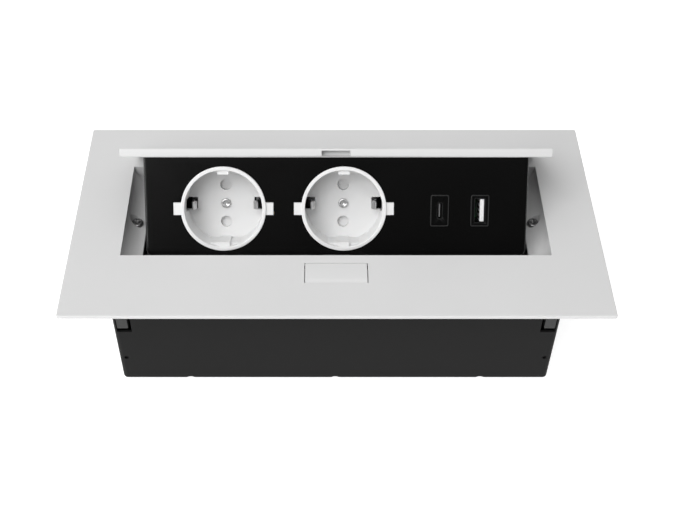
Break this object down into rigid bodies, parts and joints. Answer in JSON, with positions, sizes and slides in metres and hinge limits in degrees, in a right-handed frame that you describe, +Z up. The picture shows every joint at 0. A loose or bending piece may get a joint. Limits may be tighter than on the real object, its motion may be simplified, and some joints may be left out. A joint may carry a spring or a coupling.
{
  "type": "flip-up desk power box",
  "caption": "Desk-recessed power box: a rectangular bezel plate over a tray, a push button, and a sprung module with earthed sockets and charging ports that swings up through the opening.",
  "frame": {"origin": "centre of the tray's underside, which is also the bottom centre of the bounding box", "axes": "+X along the plate's long side, to the right seen from the front; -Y towards the user and the button; +Z up, out of the desk. Stored with the module open"},
  "size_m": [0.265, 0.1332, 0.1024],
  "materials": {
    "satin_plate": "satin light-grey coat",
    "white_lid": "satin white coat",
    "black_panel": "soft gloss",
    "black_plastic": "fine matte",
    "charcoal_tray": "matte powder coat",
    "charcoal_bracket": "matte",
    "white_socket": "soft gloss",
    "grey_tongue": "matte",
    "steel": "zinc plated",
    "screw_steel": "zinc plated",
    "dark_shell": "black nickel",
    "spring_steel": "oiled wire",
    "brass": "stamped",
    "dark_screw": "black oxide",
    "rubber": "moulded",
    "board": "solder-masked",
    "capacitor_sleeve": "shrink sleeve"
  },
  "bodies": {
    "frame": {"bezel_frame": "satin_plate", "recess_tray": "charcoal_tray", "cable_grommet": "rubber", "end_bracket_left": "charcoal_bracket", "end_bracket_right": "charcoal_bracket", "hinge_pins": "steel", "pin_clips": "steel", "torsion_spring_left": "spring_steel", "torsion_spring_right": "spring_steel", "cheek_screws": "screw_steel", "tray_screws": "dark_screw", "latch_housing": "black_plastic", "latch_housing_screws": "dark_screw", "button_springs": "spring_steel", "latch_spring": "spring_steel"},
    "button": {"push_button": "satin_plate"},
    "latch": {"latch_bolt": "black_plastic"},
    "shutter_1": {"shutter_1": "white_socket"},
    "shutter_2": {"shutter_2": "white_socket"},
    "module": {"cable_gland": "black_plastic", "charger_board": "board", "charger_capacitors": "capacitor_sleeve", "charger_transformer": "black_plastic", "contact_sleeves_1": "brass", "contact_sleeves_2": "brass", "cup_screw_1": "screw_steel", "cup_screw_2": "screw_steel", "earth_clip_1": "steel", "earth_clip_2": "steel", "face_panel": "black_panel", "gland_nut": "black_plastic", "lid": "white_lid", "lid_screws": "dark_screw", "line_busbar": "brass", "neutral_busbar": "brass", "panel_screws": "dark_screw", "pivot_bushes": "white_socket", "rear_shell": "black_plastic", "socket_base_1": "black_plastic", "socket_base_2": "black_plastic", "socket_cup_1": "white_socket", "socket_cup_2": "white_socket", "stop_bumpers": "rubber", "terminal_block": "black_plastic", "terminal_screws": "dark_screw", "usb_a_insert": "black_plastic", "usb_a_shell": "dark_shell", "usb_a_tongue": "white_socket", "usb_c_insert": "black_plastic", "usb_c_shell": "dark_shell", "usb_c_tongue": "grey_tongue"}
  },
  "joints": [
    {"name": "module_flip", "type": "hinge", "parent": "frame", "child": "module", "pos_m": [0, 0.0418, 0.0384], "axis": [1, 0, 0], "range_deg": [0, 42], "stiffness_Nm_per_rad": 0.6, "springref_deg": -45.84},
    {"name": "button_press", "type": "slide", "parent": "frame", "child": "button", "axis": [0, 0, -1], "range_m": [0, 0.0025], "stiffness_N_per_m": 400, "springref_m": -0.002, "deforming": ["button_springs"]},
    {"name": "latch_slide", "type": "slide", "parent": "frame", "child": "latch", "axis": [0, -1, 0], "range_m": [0, 0.003], "deforming": ["latch_spring"]},
    {"name": "shutter_1_turn", "type": "hinge", "parent": "module", "child": "shutter_1", "pos_m": [-0.0557, -0.0098, 0.07745], "axis": [0, -0.8192, 0.5736], "range_deg": [0, 40], "stiffness_Nm_per_rad": 0.004, "springref_deg": -20.05},
    {"name": "shutter_2_turn", "type": "hinge", "parent": "module", "child": "shutter_2", "pos_m": [0.0039, -0.0098, 0.07745], "axis": [0, -0.8192, 0.5736], "range_deg": [0, 40], "stiffness_Nm_per_rad": 0.004, "springref_deg": -20.05}
  ],
  "couplings": [
    {"joint": "latch_slide", "follows": "button_press", "ratio": 1.2}
  ]
}
